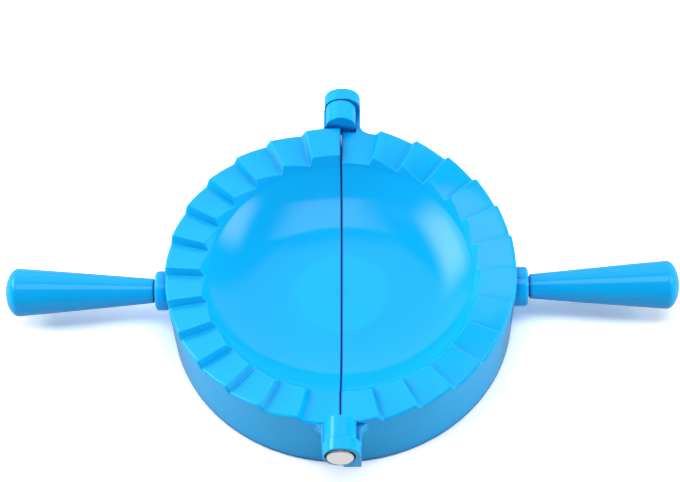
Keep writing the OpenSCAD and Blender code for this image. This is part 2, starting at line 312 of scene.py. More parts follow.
class Skin:
    """Points and faces of a mesh while it is put together."""

    def __init__(self):
        self.points = []
        self.faces = []
        self.size = 0

    def add(self, points):
        """Adds an array of points and returns their numbers in the same layout."""
        points = np.asarray(points, float)
        numbers = self.size + np.arange(points[..., 0].size).reshape(points.shape[:-1])
        self.points.append(points.reshape(-1, 3))
        self.size += numbers.size
        return numbers

    def quads(self, rows):
        """Faces between neighbouring rows of numbers."""
        rows = np.asarray(rows)
        corners = (rows[:-1, :-1], rows[:-1, 1:], rows[1:, 1:], rows[1:, :-1])
        self.faces += np.stack([c.ravel() for c in corners], axis=1).tolist()

    def grid(self, points):
        """Adds rows of points with faces between them."""
        numbers = self.add(points)
        self.quads(numbers)
        return numbers

    def tube(self, points):
        """Adds closed rings of points with faces between them and one face at each end."""
        numbers = self.add(points)
        self.quads(np.column_stack([numbers, numbers[:, :1]]))
        self.cap(numbers[0])
        self.cap(numbers[-1])

    def cap(self, numbers):
        """One flat face."""
        self.faces.append([int(n) for n in numbers])

    def build(self, name):
        """Makes the object, with double points joined and all faces turned outwards."""
        mesh = bpy.data.meshes.new(name)
        mesh.from_pydata(np.concatenate(self.points).tolist(), [], self.faces)
        bm = bmesh.new()
        bm.from_mesh(mesh)
        bmesh.ops.remove_doubles(bm, verts=bm.verts, dist=MERGE)
        bmesh.ops.dissolve_degenerate(bm, dist=MERGE, edges=bm.edges)
        bmesh.ops.recalc_face_normals(bm, faces=bm.faces)
        bm.to_mesh(mesh)
        bm.free()
        return added(name, mesh)


def combine(base, tools, operation):
    """Joins other solids to the base, or cuts them from it, and deletes them."""
    group = bpy.data.collections.new("tools")
    for tool in tools:
        group.objects.link(tool)
    cut = base.modifiers.new(operation, "BOOLEAN")
    cut.operand_type = "COLLECTION"
    cut.collection = group
    cut.solver = "EXACT"
    cut.operation = operation
    apply_modifiers(base)
    bpy.data.collections.remove(group)
    for tool in tools:
        bpy.data.objects.remove(tool)


def apply_modifiers(piece):
    """Bakes the modifiers into the mesh."""
    bpy.context.view_layer.update()
    graph = bpy.context.evaluated_depsgraph_get()
    mesh = bpy.data.meshes.new_from_object(piece.evaluated_get(graph))
    piece.modifiers.clear()
    old, piece.data = piece.data, mesh
    bpy.data.meshes.remove(old)


def smooth(piece):
    """Shades the piece smooth between its sharp edges, with large faces kept flat."""
    piece.data.shade_smooth()
    piece.data.set_sharp_from_angle(angle=SHARP_FROM)
    weigh = piece.modifiers.new("Even", "WEIGHTED_NORMAL")
    weigh.keep_sharp = True
    apply_modifiers(piece)


def lying(height, turn, axis):
    """Lays a turned piece down at a height: a quarter turn one way or the other about an axis."""
    return Matrix.Translation((0, 0, height)) @ Matrix.Rotation(turn * math.pi / 2, 4, axis)


def turned(name, outline, place, sides=SIDES):
    """A closed solid turned from an outline that starts and ends on the axis."""
    skin = Skin()
    spin = np.linspace(0, 2 * math.pi, sides, endpoint=False)
    points = np.array(outline)[:, None]
    rings = np.broadcast_arrays(points.real * np.cos(spin), points.real * np.sin(spin), points.imag)
    numbers = skin.add(np.stack(rings, axis=-1))
    skin.quads(np.column_stack([numbers, numbers[:, :1]]))
    piece = skin.build(name)
    piece.data.transform(place)
    return piece


def mirror(piece, axis):
    """Turns a piece into its mirror image."""
    piece.data.transform(Matrix.Scale(-1, 4, axis))
    piece.data.flip_normals()
    return piece


def prism(name, outline, low, high, place, radius):
    """A solid with one outline from a low to a high level, its outer edges rounded."""
    bm = bmesh.new()
    foot = [bm.verts.new((p.real, p.imag, low)) for p in outline]
    head = [bm.verts.new((p.real, p.imag, high)) for p in outline]
    bm.faces.new(foot)
    bm.faces.new(head)
    for i in range(len(outline)):
        bm.faces.new((foot[i - 1], foot[i], head[i], head[i - 1]))
    bmesh.ops.recalc_face_normals(bm, faces=bm.faces)
    edges = [e for e in bm.edges if e.calc_face_angle_signed(0) > ROUND_FROM]
    bmesh.ops.bevel(bm, geom=edges, offset=radius, segments=BEVEL_STEPS, profile=0.5, affect="EDGES")
    bmesh.ops.transform(bm, matrix=place, verts=bm.verts)
    bmesh.ops.recalc_face_normals(bm, faces=bm.faces)
    mesh = bpy.data.meshes.new(name)
    bm.to_mesh(mesh)
    bm.free()
    return added(name, mesh)


def disc_layout(d):
    """Places on the disc that follow from its sizes."""
    at = SimpleNamespace()
    at.rim_r, at.foot_r, at.bowl_r = d.rim_d / 2, d.foot_d / 2, d.bowl_d / 2
    at.level = d.crimp_h / 2
    at.fall = math.tan(d.crimp_fall)
    at.split_x = d.split_gap / 2
    at.lean = (at.rim_r - at.foot_r) / (d.rim_h + at.level)
    at.down = -math.pi / 2 - math.atan(at.lean)
    mouth_z = d.rim_h - at.fall * (at.rim_r - at.bowl_r)
    floor_r = d.bowl_floor_d / 2
    reach = d.bowl_lip_r * math.sin(d.bowl_lip_angle) + d.bowl_lip_len * math.cos(d.bowl_lip_angle)
    at.curve = math.asin((at.bowl_r - floor_r - reach) / (d.bowl_curve_r - d.bowl_lip_r))
    rise = d.bowl_curve_r * (1 - math.cos(at.curve)) + d.bowl_lip_len * math.sin(d.bowl_lip_angle)
    rise += d.bowl_lip_r * (math.cos(at.curve) - math.cos(d.bowl_lip_angle))
    at.floor_z = mouth_z - rise
    at.curve_c = complex(floor_r, at.floor_z + d.bowl_curve_r)
    at.lip_c = at.curve_c - (d.bowl_curve_r - d.bowl_lip_r) * 1j * heading(at.curve)
    at.under_z = d.rim_h - at.level - at.fall * (at.rim_r - at.bowl_r) - d.wall_t
    at.inner_x = at.split_x + d.wall_t
    return at


def skirt_r(at, z):
    """Radius of the skirt at a height."""
    return at.foot_r + at.lean * z


def crimp_columns(d):
    """Angles from the rear at which the half is cut into columns, closer together at the steps."""
    pitch = math.pi / d.crimp_count
    stops = [k * pitch + e * d.crimp_step / 2 for k in range(1, d.crimp_count) for e in (-1, 1)]
    near = [stop + d.crimp_soft * t for stop in stops for t in SOFT_MARKS]
    marks = sorted([0, math.pi] + near)
    columns = []
    for a, b in zip(marks, marks[1:]):
        parts = max(1, math.ceil((b - a) / COLUMN_STEP))
        columns += [a + (b - a) * i / parts for i in range(parts)]
    return np.array(columns + [math.pi])


def crimp_level(d, u, side):
    """Height of the crimps at each angle, from -1 to 1, with the steps' corners eased."""
    pitch, half = math.pi / d.crimp_count, d.crimp_step / 2
    stops = [(-pitch, side), (pitch - half, side)]
    for k in range(1, d.crimp_count - 1):
        stops += [(k * pitch + half, -side), ((k + 1) * pitch - half, side)]
    stops += [((d.crimp_count - 1) * pitch + half, -side), (math.pi, 0), (math.pi + pitch, 0)]
    angles, levels = zip(*stops)
    offsets = np.linspace(-d.crimp_soft, d.crimp_soft, SOFT_SAMPLES)
    return np.mean([np.interp(u + offset, angles, levels) for offset in offsets], axis=0)


def upper_outline(d, at, level):
    """Rows from the middle of the bowl over the rim and down the skirt to the foot."""
    lip = heading(d.bowl_lip_angle)
    lip_end = at.lip_c - d.bowl_lip_r * 1j * lip
    base = d.rim_h + level * at.level - at.fall * at.rim_r
    steep = math.tan(d.bowl_lip_angle)
    mouth_r = (base - lip_end.imag + lip_end.real * steep) / (steep - at.fall)
    mouth = mouth_r + 1j * (base + at.fall * mouth_r)
    crest_z = (base + at.fall * at.foot_r) / (1 - at.fall * at.lean)
    crest = skirt_r(at, crest_z) + 1j * crest_z
    middle = [(complex(at.split_x + d.split_round, at.floor_z), 1j)]
    curve = bend(at.curve_c, d.bowl_curve_r, 0, at.curve, 20)
    curve += bend(at.lip_c, d.bowl_lip_r, at.curve, d.bowl_lip_angle, 8)[1:]
    return joined(
        middle,
        curve,
        corner(mouth, d.bowl_lip_angle, d.crimp_fall, d.rim_round, 5),
        corner(crest, d.crimp_fall, at.down, d.crest_round, 8),
        corner(complex(at.foot_r, 0), at.down, -math.pi, d.foot_round, 5),
        steps=(8, 4, 6, 14),
    )


def lower_outline(d, at):
    """Rows from the foot up inside the skirt, under the rim and down under the bowl to its middle."""
    inner_r = at.foot_r - d.wall_t
    up = at.down - math.pi
    top_r = skirt_r(at, at.under_z) - d.wall_t
    lip_r, curve_r = d.bowl_lip_r + d.wall_t, d.bowl_curve_r + d.wall_t
    back = d.bowl_lip_angle - math.pi
    lip = bend(at.lip_c, -lip_r, back, at.curve - math.pi, 6)
    lip_top = lip[0][0]
    meet_r = lip_top.real + (at.under_z - lip_top.imag) / math.tan(d.bowl_lip_angle)
    curve = lip + bend(at.curve_c, -curve_r, at.curve - math.pi, -math.pi, 16)[1:]
    return joined(
        corner(complex(inner_r, 0), -math.pi, up, d.foot_round, 4),
        corner(complex(top_r, at.under_z), up, -math.pi, d.inside_round, 5),
        corner(complex(meet_r, at.under_z), -math.pi, back, d.inside_round, 4),
        curve,
        [(complex(at.inner_x, at.floor_z - d.wall_t), -1j)],
        steps=(8, 4, 3, 5),
    )


def half_turn(u, r, edge_x):
    """Angle of each point from the rear, eased so that each row ends at the edge of the split."""
    lead = np.arcsin(np.clip(edge_x / r, 0, 1))
    span = np.clip(EASE_LEADS * lead, EASE, math.pi / 2)
    return u + lead * (np.clip(1 - u / span, 0, 1) - np.clip(1 - (math.pi - u) / span, 0, 1))


def placed(rows, u, edge_x):
    """Points of all rows and columns on the half that lies towards negative X."""
    across = np.array([np.broadcast_to(point, u.shape) for point, normal in rows])
    turn = half_turn(u, across.real, edge_x)
    return np.stack([-across.real * np.sin(turn), across.real * np.cos(turn), across.imag], axis=-1)


def half_shell(name, d, side):
    """The moulding of one half, towards negative X, without its collar and knuckles."""
    at = disc_layout(d)
    u = crimp_columns(d)
    skin = Skin()
    upper = upper_outline(d, at, crimp_level(d, u, side))
    lower = lower_outline(d, at)
    edge_x = at.split_x + d.split_round
    top = placed(upper, u, edge_x)
    over = skin.grid(top)
    ways = quarter(EDGE_STEPS)
    edges = [at.inner_x - d.foot_round * way.real for way in ways]
    edges += [at.inner_x] * (len(lower) - len(edges))
    under = skin.grid(placed(lower, u, np.array(edges)[:, None]))
    skin.quads([over[-1], under[0]])
    ends = [over[-1, [-1, 0]]] + [under[i, [-1, 0]] for i in range(len(ways))]
    skin.quads(ends)
    skin.cap(np.concatenate([under[len(ways) - 1:, -1], under[-2:len(ways) - 2:-1, 0]]))

    # The rounded edge along the split, and the flat face inside it
    seam = np.concatenate([over[::-1, -1], over[1:, 0]])
    points = np.concatenate([top[::-1, -1], top[1:, 0]])
    leans = np.array([np.broadcast_to(normal, u.shape)[0] for point, normal in upper])
    outward = np.concatenate([-leans.real[::-1], leans.real[1:]])
    upward = np.concatenate([leans.imag[::-1], leans.imag[1:]])
    strip = [seam]
    for way in ways[1:]:
        sink = d.split_round * (1 - way.real)
        x = np.full(len(seam), -(at.split_x + d.split_round * (1 - way.imag)))
        moved = np.stack([x, points[:, 1] - outward * sink, points[:, 2] - upward * sink], axis=-1)
        strip.append(skin.add(moved))
    strip = np.array(strip)
    skin.quads(np.column_stack([strip, strip[:, :1]]))
    skin.cap(strip[-1])
    return skin.build(name)


def collar(d, h, at):
    """The collar on the left half, with a fillet that follows the skirt."""
    spin = np.linspace(0, 2 * math.pi, SIDES, endpoint=False)
    radius, face = h.collar_d / 2, -LEFT_LOW.x
    rings = []

    def ring(r, lift=None, x=None):
        across, up = r * np.cos(spin), HANDLE_Z + r * np.sin(spin)
        if x is None:
            x = np.sqrt(skirt_r(at, up) ** 2 - across ** 2) + lift
        rings.append(np.stack([-x * np.ones_like(spin), across, up], axis=-1))

    start = 1 - math.cos(FILLET_FROM)
    ring(radius + h.collar_fillet * (1 - math.sin(FILLET_FROM)), -d.wall_t / 2)
    for i in range(COLLAR_STEPS + 1):
        turn = FILLET_FROM + (math.pi / 2 - FILLET_FROM) * i / COLLAR_STEPS
        lift = h.collar_fillet * (1 - math.cos(turn) - start) - SINK
        ring(radius + h.collar_fillet * (1 - math.sin(turn)), lift)
    for way in quarter(COLLAR_EDGE_STEPS):
        ring(radius - h.collar_round * (1 - way.real), x=face - h.collar_round * (1 - way.imag))
    skin = Skin()
    skin.tube(rings)
    return skin.build("collar")


def socket_parts(d, h, at):
    """The socket's wall inside the skirt, and the space for the spigot."""
    toward = lying(HANDLE_Z, -1, "Y")
    face = -LEFT_LOW.x
    end = face - h.spigot_len - d.wall_t
    wall_r = h.spigot_d / 2 + h.socket_t
    wall_end = skirt_r(at, HANDLE_Z) - d.wall_t / 2
    wall = path((0, end)) + rounded(complex(wall_r, end), 0, math.pi / 2, h.socket_t / SOCKET_PART, 4)
    wall += path((wall_r, wall_end), (0, wall_end))
    deep = face - h.spigot_len - d.wall_t / SPACE_PART
    space = rod(h.spigot_d / 2 + h.spigot_gap, deep, face + d.wall_t)
    return turned("socket", wall, toward, SOCKET_SIDES), turned("spigot space", space, toward)


def round_part(radius, first, last, steps):
    """Points on a circle round the hinge line, from a first to a last angle in degrees."""
    return [radius * heading(math.radians(first + (last - first) * i / steps)) for i in range(steps + 1)]


# From the hinge line towards the rear
REAR = lying(HINGE_Z, -1, "X")
# Across stays X and height becomes Z, while the levels run along Y
UPRIGHT = Matrix.Translation((0, 0, HINGE_Z)) @ Matrix((
    (1, 0, 0, 0),
    (0, 0, 1, 0),
    (0, 1, 0, 0),
    (0, 0, 0, 1),
))


def inner_knuckle(d, g, at):
    """The rear knuckle of the left half, and the arm that carries it."""
    radius = LEFT_HIGH.z - HINGE_Z
    y0, y1 = at.rim_r + g.rim_gap, LEFT_HIGH.y
    out, near, low = -(radius + g.lug_out), -g.lug_start, -g.lug_h
    first = math.degrees(math.atan2(-math.sqrt(radius ** 2 - near ** 2), near))
    last = 180 + math.degrees(math.asin(g.knuckle_gap / radius))
    outline = round_part(radius, first, last, steps=72)
    outline += path((out, -g.knuckle_gap), (out, low), (near, low))
    ring = prism("knuckle", outline, y0, y1, UPRIGHT, g.edge_round)
    bore = rod(g.pin_d / 2 + g.seat_gap, PIN_LOW.y - g.end_gap, y1 + PAST)
    combine(ring, [turned("bore", bore, REAR)], "DIFFERENCE")
    # The arm reaches into the knuckle by its fillet's radius, so that its outline has no sharp cusp
    arm = arm_solid(d, g, at, -near, -out, y0 + g.arm_fillet)
    return [ring, mirror(arm, (1, 0, 0))]


def arm_solid(d, g, at, near, far, end):
    """An arm from the skirt towards the rear, with a round fillet on its far side, towards positive X."""
    low = HINGE_Z - g.lug_h
    wall_r = skirt_r(at, low)
    reach = g.arm_fillet
    centre = complex(far + reach, math.sqrt((wall_r + reach) ** 2 - (far + reach) ** 2))
    root = math.sqrt(wall_r ** 2 - near ** 2) - d.wall_t / 2
    landing = math.atan2(-centre.imag, -centre.real) % (2 * math.pi)
    turns = [landing + (math.pi - landing) * i / FILLET_STEPS for i in range(FILLET_STEPS + 1)]
    fillet = [centre + reach * heading(turn) for turn in turns]
    inside = centre * (wall_r - d.wall_t / 2) / abs(centre)
    outline = [complex(near, root), inside] + fillet + path((far, end), (near, end))
    return prism("arm", outline, low, HINGE_Z - g.arm_top, Matrix.Identity(4), g.edge_round * ARM_ROUND)


def outer_knuckle(d, g, at):
    """The rear knuckle of the right half, and the arm that carries it."""
    radius = RIGHT_HIGH.z - HINGE_Z
    y0, y1 = LEFT_HIGH.y + g.knuckle_gap, RIGHT_HIGH.y
    near, low = g.lug_start, -g.lug_h
    cradle_r = LEFT_HIGH.z - HINGE_Z + g.arm_gap
    far = cradle_r + g.arm_t
    last = 360 - math.degrees(math.atan2(math.sqrt(radius ** 2 - near ** 2), near))
    outline = [p + far - radius for p in round_part(radius, 0, 90, steps=24)]
    outline += round_part(radius, 90, last, steps=60)
    outline += path((near, low), (far, low))
    ring = prism("knuckle", outline, y0, y1, UPRIGHT, g.edge_round)
    head_low = PIN_HIGH.y - g.head_t - g.head_float
    bore_r, sink_r = g.pin_d / 2 + g.run_gap, PIN_HIGH.x + g.head_gap
    soft, end = g.edge_round, y1 + PAST
    brim_r = sink_r + soft
    space = path((0, y0 - PAST), (bore_r, y0 - PAST), (bore_r, head_low), (sink_r, head_low))
    space += path((sink_r, y1 - soft), (brim_r, y1 + soft / BRIM_PART), (brim_r, end), (0, end))
    combine(ring, [turned("bore", space, REAR)], "DIFFERENCE")
    arm = arm_solid(d, g, at, near, far, y0 + INTO)
    cradle = rod(cradle_r, at.foot_r - d.wall_t * 2, y0)
    combine(arm, [turned("cradle", cradle, REAR)], "DIFFERENCE")
    return [ring, arm]


def finish_piece(piece, body, node, material):
    """Dresses a piece, hangs it on its body and lets it stand for its node."""
    piece.data.materials.clear()
    piece.data.materials.append(material)
    smooth(piece)
    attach(piece, body)
    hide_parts(node)


def build_half(name, side, knuckle):
    """One finished half: its shell, collar, socket and both knuckles."""
    scene = bpy.context.scene
    d, g, h = scene.press_disc, scene.press_hinge, scene.press_handle
    at = disc_layout(d)
    shell = half_shell(name, d, side)
    wall, space = socket_parts(d, h, at)
    parts = [collar(d, h, at), wall]
    if side < 0:
        for piece in [shell, space] + parts:
            mirror(piece, (1, 0, 0))
    rear = knuckle(d, g, at)
    front = [mirror(added(piece.name, piece.data.copy()), (0, 1, 0)) for piece in rear]
    combine(shell, parts + rear + front, "UNION")
    combine(shell, [space], "DIFFERENCE")
    return shell


# Shader nodes

# Spans of a value over which a mask rises from none to full
FLOW_SPAN = (0.35, 0.7)
RUB_SPAN, PATCH_SPAN = (0.70, 0.76), (0.42, 0.66)
HIGHLIGHT_SPAN, BREAK_SPAN = (0.999, 0.90), (0.3, 0.6)
SHADE_SPAN = (0.85, 0.45)
RING_SPAN, RING_GLOSS_SPAN = (0.3, 0.7), (0.25, 0.75)
# Size of the breaks in the painted edge highlight, and how much of that highlight is left in them and between
# them
BREAK_SIZE, BREAK_LEFT = 4 * MM, (0.5, 1.0)
# Directions of the rub marks, as turns about X, Y and Z
RUB_TURNS = ((0.2, 0.3, 0.5), (1.3, 0.7, 2.1), (2.2, 1.9, 4.0))
# Rub marks come in patches that are this many times as large
PATCH_TIMES = 2.0
# Plastic: what rub marks and the split add to its roughness, and the depth of the marks and of its waves
RUB_MATT, SPLIT_MATT, RUB_DEPTH = 0.25, 0.4, 0.001 * MM
HALF_WAVE, GRIP_WAVE = 0.010 * MM, 0.004 * MM
# How far the painted shade of larger hollows reaches
HOLLOW_REACH = 5 * MM
# Steel: width and depth of its rings, their factors of its roughness, and what rub marks add to it
RING_WIDTH, RING_DEPTH, RING_GLOSS, STEEL_RUB_MATT = 0.16 * MM, 0.004 * MM, (0.8, 1.25), 0.2


class Wires:
    """Adds nodes to a tree. An input is a value, an output, or a node that gives its first output."""

    def __init__(self, tree):
        self.tree = tree
        tree.nodes.clear()

    def add(self, kind, inputs, **settings):
        """A new node with its inputs and settings."""
        node = self.tree.nodes.new(kind if kind.startswith("Node") else "ShaderNode" + kind)
        for name, value in settings.items():
            setattr(node, name, value)
        for key, value in inputs.items():
            if isinstance(value, bpy.types.Node):
                value = value.outputs[0]
            if isinstance(value, bpy.types.NodeSocket):
                self.tree.links.new(value, node.inputs[key])
            else:
                node.inputs[key].default_value = value
        return node

    def math(self, operation, *values, clamp=False):
        """The output of a sum or another step."""
        return self.add("Math", dict(enumerate(values)), operation=operation, use_clamp=clamp).outputs[0]

    def times(self, product, *factors):
        """The product of two or more values."""
        for factor in factors:
            product = self.math("MULTIPLY", product, factor)
        return product

    def most(self, first, second):
        """The larger of two values."""
        return self.math("MAXIMUM", first, second)

    def vector(self, operation, output, *values):
        """The output of a step on vectors."""
        return self.add("VectorMath", dict(enumerate(values)), operation=operation).outputs[output]

    def stretch(self, value, low, high, to_low=0.0, to_high=1.0):
        """A value taken from one span to another, smoothly and within its ends."""
        spans = {"Value": value, "From Min": low, "From Max": high, "To Min": to_low, "To Max": to_high}
        return self.add("MapRange", spans, interpolation_type="SMOOTHSTEP").outputs["Result"]

    def blend(self, share, first, second):
        """A colour between two others."""
        return self.add("Mix", {0: share, 6: first, 7: second}, data_type="RGBA").outputs[2]

    def shared(self, name, inputs):
        """The output of a shared node group, built the first time that it is placed."""
        tree = bpy.data.node_groups.get(name) or effect(name)
        return self.add("Group", inputs, node_tree=tree).outputs[0]

    def noise(self, place, size, detail=2.0):
        """Soft random values whose lumps have about the given size."""
        scale = self.math("DIVIDE", 1.0, size)
        return self.add("TexNoise", {"Vector": place, "Scale": scale, "Detail": detail}).outputs[0]

    def place(self):
        """Where a point lies on its piece, in metres."""
        return self.add("TexCoord", {}).outputs["Object"]

    def surface(self, height, inputs):
        """Ends a material in its shader, whose normals follow a height in metres."""
        bump = self.add("Bump", {"Height": height, "Distance": 1.0, "Strength": 1.0})
        shader = self.add("BsdfPrincipled", {**inputs, "Normal": bump})
        self.add("OutputMaterial", {"Surface": shader})


def wired(owner):
    """The empty node tree of a material, a lamp or a world."""
    owner.use_nodes = True
    return Wires(owner.node_tree)


def effect(name):
    """Builds a shared node group from its function and its sockets."""
    build, output, inputs = SHARED_EFFECTS[name]
    tree = bpy.data.node_groups.new(name, "ShaderNodeTree")
    kinds = {True: "NodeSocketColor", False: "NodeSocketFloat"}
    for label, value in inputs.items():
        kind = kinds[isinstance(value, tuple)]
        tree.interface.new_socket(name=label, in_out="INPUT", socket_type=kind).default_value = value
    tree.interface.new_socket(name=output, in_out="OUTPUT", socket_type=kinds[output == "Colour"])
    wires = Wires(tree)
    given = wires.add("NodeGroupInput", {}).outputs
    wires.add("NodeGroupOutput", {output: build(wires, given)})
    return tree


def moulded_skin(wires, given):
    """The faint waves and the fine grit that a mould leaves on plastic, as a height in metres."""
    place = wires.place()
    waves = wires.times(wires.noise(place, given["Wave size"], detail=1.0), given["Wave depth"])
    grit = wires.times(wires.noise(place, given["Grit size"], detail=3.0), given["Grit depth"])
    return wires.math("ADD", waves, grit)


def flow_tint(wires, given):
    """Plastic whose colour drifts a little with the flow in the mould."""
    lumps = wires.noise(wires.place(), given["Size"], detail=4.0)
    share = wires.times(wires.stretch(lumps, *FLOW_SPAN), given["Amount"])
    return wires.blend(share, given["Colour"], given["Deep colour"])


def rub_marks(wires, given):
    """Fine straight scratches in three directions, as a mask."""
    place = wires.place()
    across = wires.math("DIVIDE", 1.0, given["Width"])
    along = wires.math("DIVIDE", 1.0, given["Length"])
    scale = wires.add("CombineXYZ", {"X": along, "Y": across, "Z": across})
    total = None
    for turn in RUB_TURNS:
        way = wires.add("VectorRotate", {"Vector": place, "Rotation": turn}, rotation_type="EULER_XYZ")
        stretched = wires.vector("MULTIPLY", 0, way.outputs[0], scale.outputs[0])
        lines = wires.add("TexNoise", {"Vector": stretched, "Scale": 1.0, "Detail": 0.0})
        line = wires.stretch(lines, *RUB_SPAN)
        total = line if total is None else wires.most(total, line)
    patches = wires.stretch(wires.noise(place, wires.times(given["Length"], PATCH_TIMES)), *PATCH_SPAN)
    return wires.times(total, patches, given["Amount"])


def edge_highlight(wires, given):
    """A mask of the narrow band along each edge where a highlight is painted, broken up a little."""
    soft = wires.add("Bevel", {"Radius": given["Radius"]}, samples=6).outputs[0]
    true = wires.add("NewGeometry", {}).outputs["Normal"]
    band = wires.stretch(wires.vector("DOT_PRODUCT", 1, soft, true), *HIGHLIGHT_SPAN)
    broken = wires.stretch(wires.noise(wires.place(), BREAK_SIZE), *BREAK_SPAN, *BREAK_LEFT)
    return wires.times(band, broken, given["Amount"])


def crevices(wires, given):
    """A mask of the places where little light comes in from within a reach."""
    light = wires.add("AmbientOcclusion", {"Distance": given["Reach"]}, samples=8).outputs["AO"]
    return wires.times(wires.stretch(light, *SHADE_SPAN), given["Amount"])


def seam_shade(wires, given):
    """A mask of the strip along the split, where little light comes in."""
    spot = wires.add("SeparateXYZ", {0: wires.place()}).outputs
    strip = wires.stretch(wires.math("ABSOLUTE", spot["X"]), given["Outer"], given["Inner"])
    within = wires.math("LESS_THAN", wires.math("ABSOLUTE", spot["Y"]), given["Reach"])
    return wires.times(strip, within, given["Amount"])


# Each shared effect: its function, what it puts out, and its inputs with their usual values
SHARED_EFFECTS = {
    "Moulded skin": (moulded_skin, "Height", {
        "Wave size": 9 * MM, "Wave depth": HALF_WAVE, "Grit size": 0.35 * MM, "Grit depth": 0.0006 * MM,
    }),
    "Flow tint": (flow_tint, "Colour", {
        "Colour": (0, 0, 1, 1), "Deep colour": (0, 0, 0.5, 1), "Size": 28 * MM, "Amount": 0.5,
    }),
    "Rub marks": (rub_marks, "Mask", {"Length": 14 * MM, "Width": 0.13 * MM, "Amount": 0.5}),
    "Edge highlight": (edge_highlight, "Mask", {"Radius": 0.5 * MM, "Amount": 1.0}),
    "Painted corner shade": (crevices, "Mask", {"Reach": 0.8 * MM, "Amount": 1.0}),
    "Seam shade": (seam_shade, "Mask", {
        "Inner": 0.3 * MM, "Outer": 0.6 * MM, "Reach": 60 * MM, "Amount": 1.0,
    }),
}


def plastic_material(name, colour, rough, wave, seam=False):
    """Glossy blue moulded plastic, with a painted highlight along its edges and painted shade in narrow
    places, at the foot of steps and along the split.
    """
    scene = bpy.context.scene
    finish = scene.press_finish
    material = bpy.data.materials.new(name)
    wires = wired(material)
    body = wires.shared("Flow tint", {"Colour": (*colour, 1), "Deep colour": (*finish.plastic_deep, 1)})
    # Painted highlight along the edges
    edge = wires.shared("Edge highlight", {"Amount": finish.edge})
    # Painted shade in narrow corners and, with a wider reach, at the foot of steps
    narrow = wires.shared("Painted corner shade", {"Amount": finish.corner_shade})
    hollow = wires.shared("Painted corner shade", {"Reach": HOLLOW_REACH, "Amount": finish.hollow})
    corner_shade = wires.most(narrow, hollow)
    rub = wires.shared("Rub marks", {"Amount": finish.scuff})
    matt = wires.times(rub, RUB_MATT)
    if seam:
        # Painted shade along the split between the halves
        split = wires.shared("Seam shade", {"Reach": scene.press_disc.rim_d / 2})
        corner_shade = wires.most(corner_shade, split)
        matt = wires.most(matt, wires.times(split, SPLIT_MATT))
    # The edges get a painted highlight here, and the corners, hollows and split then get painted shade
    pale = wires.blend(edge, body, (*finish.plastic_highlight, 1))
    height = wires.shared("Moulded skin", {"Wave depth": wave})
    wires.surface(wires.math("SUBTRACT", height, wires.times(rub, RUB_DEPTH)), {
        "Base Color": wires.blend(corner_shade, pale, (*finish.plastic_shade_colour, 1)),
        "Roughness": wires.math("ADD", rough, matt, clamp=True),
        "IOR": finish.plastic_ior,
    })
    return material


def half_material(side):
    """The plastic of one half, wavier than that of the handles."""
    finish = bpy.context.scene.press_finish
    name = f"Blue plastic, {side} half"
    return plastic_material(name, finish.plastic, finish.half_rough, HALF_WAVE, seam=True)


def grip_material():
    """The plastic of the handles."""
    finish = bpy.context.scene.press_finish
    return plastic_material("Blue plastic, handles", finish.grip, finish.grip_rough, GRIP_WAVE)


def steel_material(name):
    """Turned and polished steel, with fine rings round the pin's axis and a painted highlight along its
    edges.
    """
    finish = bpy.context.scene.press_finish
    material = bpy.data.materials.new(name)
    wires = wired(material)
    offset = wires.vector("SUBTRACT", 0, wires.place(), (0, 0, HINGE_Z))
    radius = wires.vector("LENGTH", 1, wires.vector("MULTIPLY", 0, offset, (1, 0, 1)))
    count = wires.math("DIVIDE", radius, RING_WIDTH)
    rings = wires.add("TexNoise", {"W": count, "Detail": 2.0, "Scale": 1.0}, noise_dimensions="1D").outputs[0]
    rub = wires.shared("Rub marks", {"Length": 3 * MM, "Width": 0.05 * MM, "Amount": finish.scuff})
    # Painted highlight along the pin's edges
    edge = wires.shared("Edge highlight", {"Radius": 0.3 * MM})
    shade = wires.blend(wires.stretch(rings, *RING_SPAN), (*finish.steel_deep, 1), (*finish.steel, 1))
    rough = wires.stretch(rings, *RING_GLOSS_SPAN, *(finish.steel_rough * part for part in RING_GLOSS))
    wires.surface(wires.times(rings, RING_DEPTH), {
        "Base Color": wires.blend(edge, shade, (*finish.steel_highlight, 1)),
        "Roughness": wires.math("ADD", rough, wires.times(rub, STEEL_RUB_MATT)),
        "Metallic": 1,
    })
    return material


class PRESS_OT_left_half(bpy.types.Operator):
    """Build the left half, which carries the two inner knuckles"""

    bl_idname = "press.left_half"
    bl_label = "Left Half"

    def execute(self, context):
        piece = build_half("left_half_moulding", 1, inner_knuckle)
        finish_piece(piece, "left_side", "left_half", half_material("left"))
        return {"FINISHED"}


class PRESS_OT_right_half(bpy.types.Operator):
    """Build the right half, which carries the two outer knuckles"""

    bl_idname = "press.right_half"
    bl_label = "Right Half"

    def execute(self, context):
        piece = build_half("right_half_moulding", -1, outer_knuckle)
        finish_piece(piece, "right_side", "right_half", half_material("right"))
        return {"FINISHED"}


